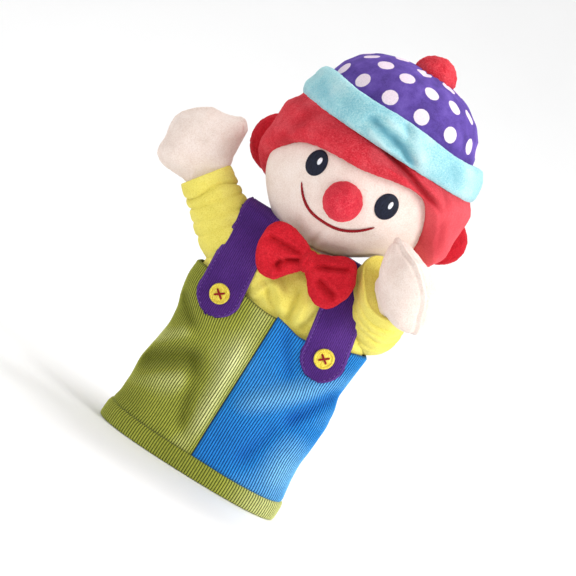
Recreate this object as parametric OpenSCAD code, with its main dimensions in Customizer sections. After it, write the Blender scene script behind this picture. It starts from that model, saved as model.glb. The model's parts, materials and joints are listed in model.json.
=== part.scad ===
// Clown glove puppet: a cloth glove body with a stuffed head and two mitten arms.
// The puppet faces -Y. Its right side is -X. Z = 0 is the lower edge of the hem.

/* [Body] */
// Half width of the trousers
body_half_w = 69; // [64:0.5:72]
// Half depth of the trousers when a hand fills them
body_half_d = 30; // [28:0.5:34]
// Thickness of a cloth wall, seam allowance included
cloth_t = 2; // [1.5:0.1:2.5]
// Height of the folded hem band
hem_h = 16; // [12:1:18]
// Height of the trousers' top edge
waist_z = 130; // [126:1:132]
// Height of the shoulders
shoulder_z = 183; // [181:0.5:184]
// Height of the neckline under the chin
neckline_z = 173; // [171:0.5:174]

/* [Straps, buttons and bow] */
// Half width of a strap at its button
strap_half_w = 17; // [14:0.5:18]
// Distance of each button from the centre seam
button_x = 43; // [40:0.5:46]
// Height of the buttons
button_z = 120; // [118:0.5:124]
// Radius of a button
button_r = 7.5; // [6:0.5:9]
// Thickness of the bow tie's loops
bow_t = 12; // [8:1:12]

/* [Head and hat] */
// Radius of the head
head_r = 62; // [60:0.5:62.5]
// Height of the head's centre
head_z = 243; // [242:0.5:246]
// Height at which the head bends and turns on the neck
neck_z = 176; // [175:0.5:177]
// Radius of the pocket that holds a finger in the head
finger_r = 12; // [10:0.5:12.5]
// Angle by which the face looks towards the right hand
face_turn = 6; // [0:1:10]
// Radius of the nose
nose_r = 14.4; // [12:0.2:15]
// Outer radius of the hat's turned-up cuff
cuff_r = 72; // [70:0.5:74]
// Lower edge of the hat's cuff
cuff_z = 267; // [266:0.5:269]
// Radius of the pompom
pompom_r = 15.5; // [13:0.5:17]

/* [Arms] */
// Distance of the right shoulder pivot from the centre seam
shoulder_x = 61; // [60:0.5:63]
// Distance of the left shoulder pivot from the centre seam
left_shoulder_x = 59; // [58:0.5:60]
// How far forward the left shoulder is drawn
left_shoulder_y = 6; // [5:0.5:7]
// Height of the shoulder pivots
arm_z = 158; // [157:0.5:159]
// Distance from the shoulder pivot to the wrist
arm_len = 42; // [40:1:45]
// Outer radius of a sleeve
sleeve_r = 17; // [16:0.5:17]
// Angle of the raised right arm away from upright
right_lean = 53.13; // [50:0.5:60]
// Angle of the left arm, which points forwards, away from upright
left_lean = 54; // [53:0.5:56]
// Angle of the left hand, which droops from its sleeve, away from upright
left_hand_lean = 68; // [67:0.5:72]
// Angle by which the left hand turns away from the body at its wrist
left_hand_turn = 20; // [16:1:24]
// Turn of the left hand about its own length
left_roll = 128; // [124:0.5:130]

/* [Hidden] */

$fn = 96;
big = 400;

green = [0.60, 0.64, 0.22];
blue = [0.12, 0.50, 0.82];
yellow = [0.93, 0.86, 0.33];
purple = [0.30, 0.12, 0.47];
red = [0.82, 0.10, 0.16];
dark_red = [0.72, 0.06, 0.14];
cream = [0.93, 0.85, 0.80];
aqua = [0.52, 0.80, 0.85];

// Squareness of the body's oval and the number of its corners
oval_power = 2.5;
oval_steps = 72;

// Clearances between the nested balls of a neck or shoulder
ball_gap = 1;
neck_ball_r = finger_r + 5;
tunnel_r = neck_ball_r + ball_gap;
collar_r = tunnel_r + 1.5 + ball_gap;
collar_t = 3;
neck_room_r = collar_r + collar_t + ball_gap;

sleeve_ball_r = sleeve_r + 4;
sleeve_t = 1.8;
gusset_r = sleeve_ball_r - sleeve_t - 0.5;
sleeve_end = arm_len - 4;
wrist_ball_r = sleeve_r - sleeve_t - 1.2;
hand_bore_r = 9;
palm_r = 26;
palm_lens_r = 42;
palm_half_t = 17;

// Direction from which a finger enters a sleeve, away from upright
way_in_a = 135;
// How far the arms move, for which the shirt leaves room
right_swing_max = 30;
left_lift_min = -4;
left_lift_max = 26;

skin_t = 1.5;
stitch_t = 0.8;
strap_t = 2.2;
// Half width of a strap on the shoulder and where each strap crosses it
strap_top_half_w = 12;
strap_top_z = 192;
strap_right_top_x = -47;
strap_left_top_x = 33;

// The bow tie's back, middle and height
bow_back_y = -34.5;
bow_x = -2;
bow_z = 173;
bow_knot_r = 6.5;
bow_knot_h = 20.5;

// Face details, measured across and up on the front of the head
nose_x = 2;
nose_z = 223;
eye_right_x = -29.5;
eye_left_x = 28.5;
eye_z = 235.5;
eye_half_w = 7;
eye_half_h = 9.2;
glint_half_w = 1.4;
glint_half_h = 2.6;
mouth_x = -0.5;
mouth_z = 204;
mouth_r = 36;
mouth_half_a = 52;
mouth_w = 1.6;

tuft_x = 62;
tuft_y = 24;
tuft_z = 229.5;
tuft_r = 23;
pompom_x = 3;
pompom_z = 328;

// Outer outlines as pairs of radius and height, from the bottom up
hair_profile = [
    [62, 200], [68, 207], [72.5, 218], [75, 232], [75.5, 247], [74.5, 258], [71, cuff_z]
];
crown_profile = [
    [60, cuff_z], [59.5, 285], [58, 293], [54, 304], [47, 314], [36, 321.5], [20, 327], [0, 329]
];
// The crown's inner face, which the hat's stuffing fills
crown_lining = [
    for (p = crown_profile) [max(p[0] - cloth_t, 0), p[1] - (p[0] < 50 ? cloth_t : 0)]
];
cuff_profile = [
    [60, cuff_z], [67, cuff_z], [70.5, cuff_z + 2.5], [cuff_r, cuff_z + 9], [71.5, cuff_z + 20],
    [69, cuff_z + 25.5], [65, cuff_z + 27.5], [58.3, cuff_z + 27.5], [59.5, 285]
];
// Lower edge of the fringe, seen from the front
fringe_edge = [
    [-90, 212], [-70, 212], [-67, 222], [-62, 235], [-50, 245], [-31, 249], [2, 248.5],
    [16, 252.5], [31, 254], [43, 254], [52, 247], [57, 237], [60, 226], [64, 218], [90, 214]
];

// ---- shapes that repeat ----

function oval_point(a, half_w, half_d) = [
    half_w * sign(cos(a)) * pow(abs(cos(a)), 2 / oval_power),
    half_d * sign(sin(a)) * pow(abs(sin(a)), 2 / oval_power)
];

// The body's oval, grown outwards by grow
module body_oval(grow) {
    polygon([for (i = [0 : oval_steps - 1])
        oval_point((i + 0.5) * 360 / oval_steps, body_half_w + grow, body_half_d + grow)]);
}

// The body's oval, grown and filled between two heights
module body_block(grow, z0, z1) {
    translate([0, 0, z0]) linear_extrude(z1 - z0) body_oval(grow);
}

module oval_wall(inner, outer, z0, z1) {
    translate([0, 0, z0]) linear_extrude(z1 - z0) difference() {
        body_oval(outer);
        body_oval(inner);
    }
}

// A front outline (X across, Z up) carried through the whole depth of the puppet
module through_y(depth = big) {
    translate([0, depth / 2, 0]) rotate([90, 0, 0]) linear_extrude(depth) children();
}

// The half of space on one side: x or y is -1 or 1
module half_space(x = 0, y = 0) {
    translate([x * big / 2, y * big / 2, big / 2]) cube([big, big, 2 * big], center = true);
}

// The front half of an oval wall, cut to a front outline
module on_front(inner, outer) {
    intersection() {
        oval_wall(inner, outer, 60, 200);
        half_space(y = -1);
        through_y() children();
    }
}

// A spherical wall about a point on the Z axis, between two heights
module ball_band(center_z, r_out, r_in, z0, z1) {
    intersection() {
        translate([0, 0, center_z]) difference() {
            sphere(r_out);
            sphere(r_in);
        }
        translate([0, 0, z0]) cylinder(h = z1 - z0, r = big / 2);
    }
}

module head_ball(r) {
    translate([0, 0, head_z]) sphere(r);
}

// A solid of revolution from a list of radius and height pairs
module turned(points) {
    rotate_extrude() polygon(points);
}

module solid_profile(points) {
    turned(concat([[0, points[0][1]]], points, [[0, points[len(points) - 1][1]]]));
}

// A patch of stitching that lies on the face
module on_face(height) {
    rotate([0, 0, -face_turn]) intersection() {
        difference() {
            head_ball(head_r + height);
            head_ball(head_r);
        }
        half_space(y = -1);
        through_y() children();
    }
}

module ellipse_2d(x, z, half_w, half_h) {
    polygon([for (i = [0 : 35]) [x + half_w * cos(i * 10), z + half_h * sin(i * 10)]]);
}

// ---- body ----

module hem_band() {
    color(green) oval_wall(-cloth_t, 1.5, 0, hem_h);
}

module trouser_panel(x, y) {
    intersection() {
        oval_wall(-cloth_t, 0, hem_h, waist_z);
        half_space(x = x);
        half_space(y = y);
    }
}

module trouser_front_green() {
    color(green) trouser_panel(-1, -1);
}

module trouser_front_blue() {
    color(blue) trouser_panel(1, -1);
}

module trouser_back_green() {
    color(green) trouser_panel(-1, 1);
}

module trouser_back_blue() {
    color(blue) trouser_panel(1, 1);
}

// Front outline of the shirt and its shoulders, grown outwards by grow
module shirt_outline(grow) {
    top = shoulder_z + grow;
    polygon([
        [-body_half_w, waist_z - 8], [-62 - grow, waist_z + 8], [-57 - grow, arm_z],
        [-56 - grow, top - 5], [-52 - grow, top], [-43, top], [-31, neckline_z + 2 + grow],
        [-25, neckline_z + grow], [25, neckline_z + grow], [31, neckline_z + 2 + grow],
        [43, top], [52 + grow, top], [56 + grow, top - 5], [57 + grow, arm_z],
        [62 + grow, waist_z + 8], [body_half_w, waist_z - 8]
    ]);
}

module shirt_block(grow) {
    intersection() {
        body_block(grow - cloth_t, waist_z - 8, waist_z + 72);
        through_y() shirt_outline(grow);
    }
}

// Room that the moving arms and neck need
module joint_room() {
    translate([0, 0, neck_z]) sphere(neck_room_r);
    at_right_shoulder() {
        sphere(sleeve_ball_r + ball_gap);
        for (swing = [0 : 10 : right_swing_max]) rotate([0, 0, swing]) rotate([0, -right_lean, 0])
            cylinder(h = big / 4, r = sleeve_r + 1.5);
    }
    at_left_shoulder() {
        sphere(sleeve_ball_r + ball_gap);
        for (lift = [left_lift_min : 6 : left_lift_max]) rotate([0, 0, -2]) rotate([left_lean + lift, 0, 0])
            cylinder(h = big / 4, r = sleeve_r + 2.2);
    }
}

module shirt_half(y) {
    color(yellow) difference() {
        intersection() {
            shirt_block(0);
            half_space(y = y);
        }
        intersection() {
            translate([0, 0, -1]) shirt_block(-cloth_t);
            body_block(-2 * cloth_t, waist_z - 20, waist_z + 60);
        }
        body_block(-2 * cloth_t, waist_z - 20, waist_z + 4);
        joint_room();
    }
}

module shirt_front() {
    shirt_half(-1);
}

module shirt_back() {
    shirt_half(1);
}

// Front outline of a strap: side is -1 for the right strap, top_x its place on the shoulder
module strap_outline(side, top_x) {
    polygon(concat(
        [for (a = [180 : 10 : 360])
            [side * button_x + strap_half_w * cos(a), button_z + 2 + strap_half_w * sin(a)]],
        [[top_x + strap_top_half_w, strap_top_z], [top_x - strap_top_half_w, strap_top_z]]
    ));
}

// A strap runs from its button over the shoulder to the trousers' back
module strap(side, top_x) {
    color(purple) difference() {
        intersection() {
            body_block(strap_t, 90, 200);
            through_y() shirt_cover(3);
            through_y() strap_outline(side, top_x);
        }
        intersection() {
            body_block(0, 80, 210);
            through_y() shirt_cover(0.5);
        }
        translate([-big / 2, 0, 0]) cube([big, big, waist_z - 12]);
        joint_room();
    }
}

// The shoulder line grown outwards, with sides that reach straight down
module shirt_cover(grow) {
    top = shoulder_z + grow;
    polygon([
        [-80, 60], [-80, top - 5], [-72, top], [-43, top], [-31, neckline_z + 2 + grow],
        [-25, neckline_z + grow], [25, neckline_z + grow], [31, neckline_z + 2 + grow],
        [43, top], [72, top], [80, top - 5], [80, 60]
    ]);
}

module strap_right() {
    strap(-1, strap_right_top_x);
}

module strap_left() {
    strap(1, strap_left_top_x);
}

module button(side) {
    color(yellow) on_front(2.2, 4.4) translate([side * button_x, button_z]) circle(button_r);
}

module button_right() {
    button(-1);
}

module button_left() {
    button(1);
}

// Two crossed stitches that hold a button
module button_stitch(side) {
    color(red) on_front(4.4, 5.2) translate([side * button_x, button_z])
        for (a = [38, -38]) rotate(a) square([9, 1.3], center = true);
}

module button_stitch_right() {
    button_stitch(-1);
}

module button_stitch_left() {
    button_stitch(1);
}

module bow_loop_2d(side) {
    polygon([
        [0, 6], [side * 14, 10.5], [side * 26, 13], [side * 33, 10], [side * 34.5, 2],
        [side * 33, -9], [side * 27, -18], [side * 20, -21], [side * 12, -17], [0, -5]
    ]);
}

module bow_loops() {
    color(red) difference() {
        translate([bow_x, bow_back_y, bow_z]) rotate([90, 0, 0]) linear_extrude(bow_t)
            for (side = [-1, 1]) bow_loop_2d(side);
        bow_knot_solid();
    }
}

module bow_knot_solid() {
    translate([bow_x, 0, bow_z - 0.5]) rotate([90, 0, 0])
        translate([0, 0, body_half_d - cloth_t]) cylinder(h = bow_knot_h, r = bow_knot_r);
}

module bow_knot() {
    color(red) bow_knot_solid();
}

// ---- neck ----

// Gathered neck edge of the shirt, which leans with the head
module collar() {
    color(yellow) ball_band(neck_z, collar_r + collar_t, collar_r, neck_z - 15, neck_z - 4);
}

// Cloth tunnel that leads a finger up into the head
module neck_tunnel() {
    color(cream) ball_band(neck_z, tunnel_r + 1.5, tunnel_r, neck_z - 14, neck_z - 4);
}

// ---- head ----

module pocket_outer() {
    translate([0, 0, neck_z]) sphere(neck_ball_r);
    translate([0, 0, neck_z]) cylinder(h = 56, r = finger_r + 1.5);
    translate([0, 0, neck_z + 56]) sphere(finger_r + 1.5);
}

module pocket_inner() {
    translate([0, 0, neck_z - 40]) cylinder(h = 95, r = finger_r);
    translate([0, 0, neck_z + 55]) sphere(finger_r);
}

module finger_pocket() {
    color(cream) difference() {
        pocket_outer();
        pocket_inner();
    }
}

// A skin half, open at the neck and where the hat and its stuffing begin
module head_skin(y) {
    color(cream) difference() {
        intersection() {
            head_ball(head_r);
            half_space(y = y);
        }
        head_ball(head_r - skin_t);
        translate([0, 0, neck_z]) sphere(neck_ball_r);
    }
}

module face_panel() {
    head_skin(-1);
}

module head_back_panel() {
    head_skin(1);
}

module head_stuffing() {
    color("white") difference() {
        head_ball(head_r - skin_t);
        pocket_outer();
    }
}

module nose() {
    color(red) rotate([0, 0, -face_turn]) difference() {
        translate([nose_x, -head_r + 3, nose_z]) sphere(nose_r);
        head_ball(head_r);
    }
}

module eye(x) {
    on_face(stitch_t) ellipse_2d(x, eye_z, eye_half_w, eye_half_h);
}

module eye_right() {
    color("black") eye(eye_right_x);
}

module eye_left() {
    color("black") eye(eye_left_x);
}

module eye_glints() {
    color("white") difference() {
        for (x = [eye_right_x, eye_left_x])
            on_face(2 * stitch_t) ellipse_2d(x + 1.5, eye_z + 2, glint_half_w, glint_half_h);
        head_ball(head_r + stitch_t);
    }
}

// A curved line of embroidery between the corners of the mouth
module mouth_stitch() {
    color(red) on_face(stitch_t) translate([mouth_x, mouth_z + mouth_r])
        polygon([for (side = [0, 1]) for (i = [0 : 12])
            let (a = -90 + (side == 0 ? 1 : -1) * mouth_half_a * (i / 6 - 1),
                 r = mouth_r + (side == 0 ? 0.5 : -0.5) * mouth_w)
            [r * cos(a), r * sin(a)]]);
}

module hair_ring() {
    difference() {
        solid_profile(hair_profile);
        head_ball(head_r);
    }
}

module hair_fringe() {
    color(red) intersection() {
        hair_ring();
        half_space(y = -1);
        through_y() polygon(concat(fringe_edge, [[90, 280], [-90, 280]]));
    }
}

module hair_back() {
    color(red) intersection() {
        hair_ring();
        half_space(y = 1);
    }
}

module side_tuft(side) {
    color(dark_red) difference() {
        translate([side * tuft_x, tuft_y, tuft_z]) sphere(tuft_r);
        translate([0, 0, 150]) cylinder(h = 200, r = hair_profile[4][0]);
    }
}

module side_tuft_right() {
    side_tuft(-1);
}

module side_tuft_left() {
    side_tuft(1);
}

module hat_cuff() {
    color(aqua) turned(cuff_profile);
}

module hat_crown() {
    color(purple) difference() {
        solid_profile(crown_profile);
        solid_profile(crown_lining);
        head_ball(head_r);
    }
}

module hat_stuffing() {
    color("white") difference() {
        solid_profile(crown_lining);
        head_ball(head_r);
    }
}

module pompom() {
    color(red) difference() {
        translate([pompom_x, 0, pompom_z]) sphere(pompom_r);
        solid_profile(crown_profile);
    }
}

// ---- arms: a hand is drawn along +Z from its wrist, with the thumb towards +X ----

module at_right_shoulder() {
    translate([-shoulder_x, 0, arm_z]) children();
}

module at_left_shoulder() {
    translate([left_shoulder_x, -left_shoulder_y, arm_z]) children();
}

// Way in for a finger, from the body and below; side is -1 on the right and 1 on the left
module way_in(side, r) {
    rotate([0, -side * way_in_a, 0]) cylinder(h = big / 4, r = r);
}

// Gusset that joins a sleeve to the shirt; it carries the arm's swing
module gusset(side) {
    color(yellow) difference() {
        sphere(gusset_r);
        sphere(gusset_r - 1.5);
        way_in(side, finger_r);
        rotate([0, -side * way_in_a, 0]) translate([0, 0, 5 - big / 2])
            cylinder(h = big / 2, r = big / 4);
    }
}

// A ball at the shoulder and a tube that leans away from upright
module sleeve(side, lean) {
    color(yellow) difference() {
        union() {
            sphere(sleeve_ball_r);
            rotate(lean) cylinder(h = sleeve_end, r = sleeve_r);
        }
        sphere(sleeve_ball_r - sleeve_t);
        rotate(lean) cylinder(h = arm_len, r = sleeve_r - sleeve_t);
        way_in(side, finger_r + 1);
    }
}

module mitten_2d() {
    translate([-1, 23]) circle(palm_r);
    translate([28, 25.5]) circle(9);
    polygon([[10, 4], [31, 17], [31, 34], [12, 46]]);
}

module palm() {
    intersection() {
        rotate([90, 0, 0]) linear_extrude(2 * palm_half_t, center = true) mitten_2d();
        translate([0, 0, 26]) rotate([90, 0, 0])
            turned([for (i = [-6 : 6])
                [abs(i) == 6 ? 0 : palm_lens_r * cos(i * 15), palm_half_t * sin(i * 15)]]);
        translate([0, 0, 5]) cylinder(h = big, r = big / 2);
    }
}

// A mitten with a short stuffed wrist and a pocket for a fingertip
module hand() {
    color(cream) difference() {
        union() {
            sphere(wrist_ball_r);
            cylinder(h = 14, r = 12);
            palm();
        }
        translate([0, 0, -big / 4]) cylinder(h = big / 4 + 22, r = hand_bore_r);
        translate([0, 0, 22]) sphere(hand_bore_r);
    }
}

module shoulder_gusset_right() {
    at_right_shoulder() gusset(-1);
}

module sleeve_right() {
    at_right_shoulder() sleeve(-1, [0, -right_lean, 0]);
}

module hand_right() {
    at_right_shoulder() rotate([0, -right_lean, 0]) translate([0, 0, arm_len]) hand();
}

module shoulder_gusset_left() {
    at_left_shoulder() gusset(1);
}

module sleeve_left() {
    at_left_shoulder() sleeve(1, [left_lean, 0, 0]);
}

module hand_left() {
    at_left_shoulder() rotate([left_lean, 0, 0]) translate([0, 0, arm_len])
        rotate([-left_lean, 0, 0]) rotate([0, 0, left_hand_turn])
            rotate([left_hand_lean, 0, 0]) rotate([0, 0, left_roll]) hand();
}

hem_band();
trouser_front_green();
trouser_front_blue();
trouser_back_green();
trouser_back_blue();
shirt_front();
shirt_back();
strap_right();
strap_left();
button_right();
button_left();
button_stitch_right();
button_stitch_left();
bow_loops();
bow_knot();
collar();
neck_tunnel();
face_panel();
head_back_panel();
head_stuffing();
finger_pocket();
nose();
eye_right();
eye_left();
eye_glints();
mouth_stitch();
hair_fringe();
hair_back();
side_tuft_right();
side_tuft_left();
hat_cuff();
hat_crown();
hat_stuffing();
pompom();
shoulder_gusset_right();
sleeve_right();
hand_right();
shoulder_gusset_left();
sleeve_left();
hand_left();
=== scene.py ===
"""Clown glove puppet: the visual model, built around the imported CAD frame. Shapes are in
millimetres until solid() makes a mesh of them in metres."""

import json
import math

import bmesh
import bpy
import numpy as np
from mathutils import Matrix, Vector


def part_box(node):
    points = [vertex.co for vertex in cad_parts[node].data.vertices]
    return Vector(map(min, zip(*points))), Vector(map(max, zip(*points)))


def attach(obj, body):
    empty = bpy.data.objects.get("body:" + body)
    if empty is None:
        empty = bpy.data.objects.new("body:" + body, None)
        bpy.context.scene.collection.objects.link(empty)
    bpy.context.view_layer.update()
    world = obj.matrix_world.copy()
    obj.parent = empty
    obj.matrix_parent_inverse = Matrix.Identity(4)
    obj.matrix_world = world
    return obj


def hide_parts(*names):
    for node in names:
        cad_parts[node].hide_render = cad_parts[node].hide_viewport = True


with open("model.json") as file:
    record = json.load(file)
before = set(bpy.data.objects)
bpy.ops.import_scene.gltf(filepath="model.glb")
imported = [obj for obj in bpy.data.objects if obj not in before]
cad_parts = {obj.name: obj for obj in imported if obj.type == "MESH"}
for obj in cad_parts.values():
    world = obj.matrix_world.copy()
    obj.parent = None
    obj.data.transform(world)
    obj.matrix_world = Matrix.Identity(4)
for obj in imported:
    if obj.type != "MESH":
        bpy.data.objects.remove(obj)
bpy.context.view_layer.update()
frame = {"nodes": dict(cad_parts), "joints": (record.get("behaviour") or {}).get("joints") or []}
MM = 0.001
TAU = 2 * math.pi
WORD = {-1: "right", 1: "left"}  # the puppet's own right is the side of -X


def place(node):
    """The lowest corner, highest corner and centre of a CAD node's box, in millimetres."""
    low, high = (np.array(corner, float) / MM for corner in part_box(node))
    return low, high, (low + high) / 2


# ---- maths


def smooth(x, low, high):
    """0 below low, 1 above high, and a smooth rise between them."""
    t = np.clip((np.asarray(x, float) - low) / (high - low), 0, 1)
    return t * t * (3 - 2 * t)


def bump(x, centre, width):
    return np.exp(-(((np.asarray(x, float) - centre) / width) ** 2))


def curve(x, points):
    """A smooth curve through (x, value) points."""
    px, py = np.array(sorted(points), float).T
    fine = np.linspace(px[0], px[-1], 400)
    values = np.interp(fine, px, py)
    core = np.hanning(41)
    values = np.convolve(np.pad(values, 20, mode="edge"), core / core.sum(), mode="valid")
    return np.interp(x, fine, values)


def noise(points, size, seed):
    """Smooth noise from -1 to 1 at each point; size is the length of one lump."""
    q = np.asarray(points, float) / size + 31.7 * (seed + 1)
    cell = np.floor(q).astype(np.int64)
    f = q - cell
    f = f * f * (3 - 2 * f)
    total = np.zeros(q.shape[:-1])
    for corner in np.ndindex(2, 2, 2):
        c = cell + np.array(corner)
        h = (c[..., 0] * 73856093) ^ (c[..., 1] * 19349663) ^ (c[..., 2] * 83492791)
        h = (h ^ (h >> 13)) * 1274126177 & 0xFFFFFFFF
        value = (h ^ (h >> 16)) / 0x7FFFFFFF - 1
        weight = np.prod(np.where(np.array(corner) == 1, f, 1 - f), axis=-1)
        total += weight * value
    return total


def unit(v):
    v = np.asarray(v, float)
    return v / np.linalg.norm(v, axis=-1, keepdims=True)


def power(x, exponent):
    """A power of x's size that keeps its sign."""
    return np.sign(x) * np.abs(x) ** exponent


def ridge(x, z, a, b, width, height):
    """A soft fold along the line from a to b, which dies out at both ends."""
    a, b = np.array(a, float), np.array(b, float)
    along = (b - a) / np.linalg.norm(b - a)
    t = ((x - a[0]) * along[0] + (z - a[1]) * along[1]) / np.linalg.norm(b - a)
    off = (x - a[0]) * -along[1] + (z - a[1]) * along[0]
    fade = smooth(t, -0.25, 0.15) * (1 - smooth(t, 0.85, 1.25))
    return height * fade * bump(off, 0, width)


def ridges(x, z, lines):
    """Soft folds together: each line is where one starts and ends, its width and its height."""
    return sum(ridge(x, z, *line) for line in lines)


def stack(*parts):
    """Points from their coordinates, each a number or an array."""
    return np.stack(np.broadcast_arrays(*parts), -1)


def down(low, high, rows):
    """Numbers from low to high, one for each row of a grid."""
    return np.linspace(low, high, rows)[:, None]


def circle(columns):
    """Angles once round, one for each column of a grid."""
    return np.linspace(0, TAU, columns, endpoint=False)[None, :]


def directions(polar, a):
    """Directions out of a ball: polar is the angle from its top and a the angle round."""
    return stack(np.sin(polar) * np.cos(a), np.sin(polar) * np.sin(a), np.cos(polar))


# ---- meshes


def grid_faces(rows, columns, wrap=False, start=0):
    last = columns if wrap else columns - 1
    faces = []
    for i in range(rows - 1):
        for j in range(last):
            k = (j + 1) % columns
            faces.append((start + i * columns + j, start + i * columns + k,
                          start + (i + 1) * columns + k, start + (i + 1) * columns + j))
    return faces


def put(name, data):
    """A new object in the scene."""
    thing = bpy.data.objects.new(name, data)
    bpy.context.scene.collection.objects.link(thing)
    return thing


def solid(name, points, faces, material, values=None):
    """A smooth mesh object; values are extra numbers for each point that its material reads."""
    mesh = bpy.data.meshes.new(name)
    points = np.asarray(points, float).reshape(-1, 3)
    mesh.from_pydata((points * MM).tolist(), [], faces)
    mesh.validate()
    for key, data in (values or {}).items():
        attribute = mesh.attributes.new(key, "FLOAT", "POINT")
        attribute.data.foreach_set("value", np.asarray(data, np.float32).ravel())
    mesh.shade_smooth()
    mesh.materials.append(material)
    return put(name, mesh)


def sheet_of(name, grid, material, wrap=False, values=None, thickness=0, offset=-1):
    """A mesh from a rows x columns x 3 grid of points, thickened into cloth if asked."""
    rows, columns = grid.shape[:2]
    piece = solid(name, grid, grid_faces(rows, columns, wrap), material, values)
    if thickness:
        thick = piece.modifiers.new("thickness", "SOLIDIFY")
        thick.thickness = thickness * MM
        thick.offset = offset
    return piece


def closed(name, grid, material):
    """A grid that wraps round, with its first and last rows closed to a point each."""
    rows, columns = grid.shape[:2]
    faces = grid_faces(rows, columns, wrap=True)
    n, last = rows * columns, (rows - 1) * columns
    points = np.concatenate([grid.reshape(-1, 3), grid[0].mean(0)[None], grid[-1].mean(0)[None]])
    for j in range(columns):
        k = (j + 1) % columns
        faces += [(k, j, n), (last + j, last + k, n + 1)]
    return fix_normals(solid(name, points, faces, material))


def fix_normals(piece):
    bm = bmesh.new()
    bm.from_mesh(piece.data)
    bmesh.ops.recalc_face_normals(bm, faces=bm.faces)
    bm.to_mesh(piece.data)
    bm.free()
    return piece


def numbers(mesh, key):
    """A mesh's points (co) or their normals (normal), as rows of three numbers."""
    rows = np.empty(len(mesh.vertices) * 3, np.float32)
    mesh.vertices.foreach_get(key, rows)
    return rows.reshape(-1, 3)


def push(piece, amount):
    """Moves each point along its normal; amount is a function of the points, in millimetres."""
    mesh = piece.data
    co = numbers(mesh, "co")
    co += numbers(mesh, "normal") * (np.asarray(amount(co / MM))[:, None] * MM)
    mesh.vertices.foreach_set("co", co.astype(np.float32).ravel())
    mesh.update()


def pile(size, height, seed):
    """The lumpy surface of a plush or velour."""
    return lambda p: height * (0.6 * noise(p, size, seed) + 0.4 * noise(p, size * 0.45, seed + 5))


def subdivide(piece, levels):
    modifier = piece.modifiers.new("round", "SUBSURF")
    modifier.levels = modifier.render_levels = levels
    bake(piece)


def bake(piece):
    """Replaces a piece's mesh with what its modifiers make of it."""
    depsgraph = bpy.context.evaluated_depsgraph_get()
    mesh = bpy.data.meshes.new_from_object(piece.evaluated_get(depsgraph))
    piece.modifiers.clear()
    piece.data = mesh
    mesh.shade_smooth()


def swell(piece, pressure, cap, hold):
    """A short cloth simulation, with no gravity and some pressure from inside."""
    frames = 20
    cloth = piece.modifiers.new("cloth", "CLOTH")
    settings = cloth.settings
    settings.quality = 5
    settings.mass = 0.15
    settings.tension_stiffness = settings.compression_stiffness = 12
    settings.bending_stiffness = 0.4
    settings.use_pressure = True
    settings.uniform_pressure_force = pressure
    settings.effector_weights.gravity = 0
    cloth.point_cache.frame_start = 1
    cloth.point_cache.frame_end = frames
    scene = bpy.context.scene
    for step in range(1, frames + 1):
        scene.frame_set(step)
    before = numbers(piece.data, "co")
    after = numbers(piece.evaluated_get(bpy.context.evaluated_depsgraph_get()).data, "co")
    piece.modifiers.clear()
    move = after - before
    move *= np.minimum(1, cap * MM / np.maximum(np.linalg.norm(move, axis=1, keepdims=True), 1e-9))
    if hold is not None:
        move *= (1 - np.clip(hold(before / MM), 0, 1))[:, None]
    piece.data.vertices.foreach_set("co", (before + move).astype(np.float32).ravel())
    piece.data.update()
    scene.frame_set(1)


def puff(piece, voxel, pressure, cap, hold=None):
    """Remeshes a stuffed piece, swells it by simulation and rounds it. cap is how far a point may
    move, and hold(points) is 1 where the piece is sewn down."""
    remesh = piece.modifiers.new("remesh", "REMESH")
    remesh.mode = "VOXEL"
    remesh.voxel_size = voxel * MM
    material = piece.data.materials[0]
    bake(piece)
    piece.data.materials.clear()
    piece.data.materials.append(material)
    swell(piece, pressure, cap, hold)
    subdivide(piece, 2)


def threads(name, paths, radius, material, twist=0):
    """One mesh of thin round threads, each along its own list of points."""
    sides = 6
    points, faces = [], []
    for path in paths:
        path = np.asarray(path, float)
        n = len(path)
        along = unit(np.gradient(path, axis=0))
        side = unit(np.cross(along, [0.31, 0.57, 0.76]))
        other = np.cross(along, side)
        t = np.linspace(0, 1, n)
        r = radius * np.sqrt(np.clip(1 - (2 * t - 1) ** 8, 0.04, 1))
        if twist:
            length = np.concatenate([[0], np.cumsum(np.linalg.norm(np.diff(path, axis=0), axis=1))])
            r = r * (1 + 0.18 * np.sin(length * TAU / twist))
        a = np.arange(sides) * TAU / sides
        ring = (path[:, None] + r[:, None, None] * (
            np.cos(a)[None, :, None] * side[:, None] + np.sin(a)[None, :, None] * other[:, None]))
        start = len(points)
        points.extend(ring.reshape(-1, 3))
        faces += grid_faces(n, sides, wrap=True, start=start)
        faces.append(tuple(start + j for j in reversed(range(sides))))
        faces.append(tuple(start + (n - 1) * sides + j for j in range(sides)))
    return solid(name, points, faces, material)


def finish_piece(piece, body, slot, *replaced):
    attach(piece, body)
    if replaced:
        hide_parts(*replaced)


def stuffed(piece, nap, fill, body, slot, *replaced):
    """Gives a stuffed piece its pile, parents it to its body and hides the CAD parts it replaces:
    nap is what pile() takes for its surface.
    """
    push(piece, pile(*nap))
    finish_piece(piece, body, slot, *replaced)


# ---- materials


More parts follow.
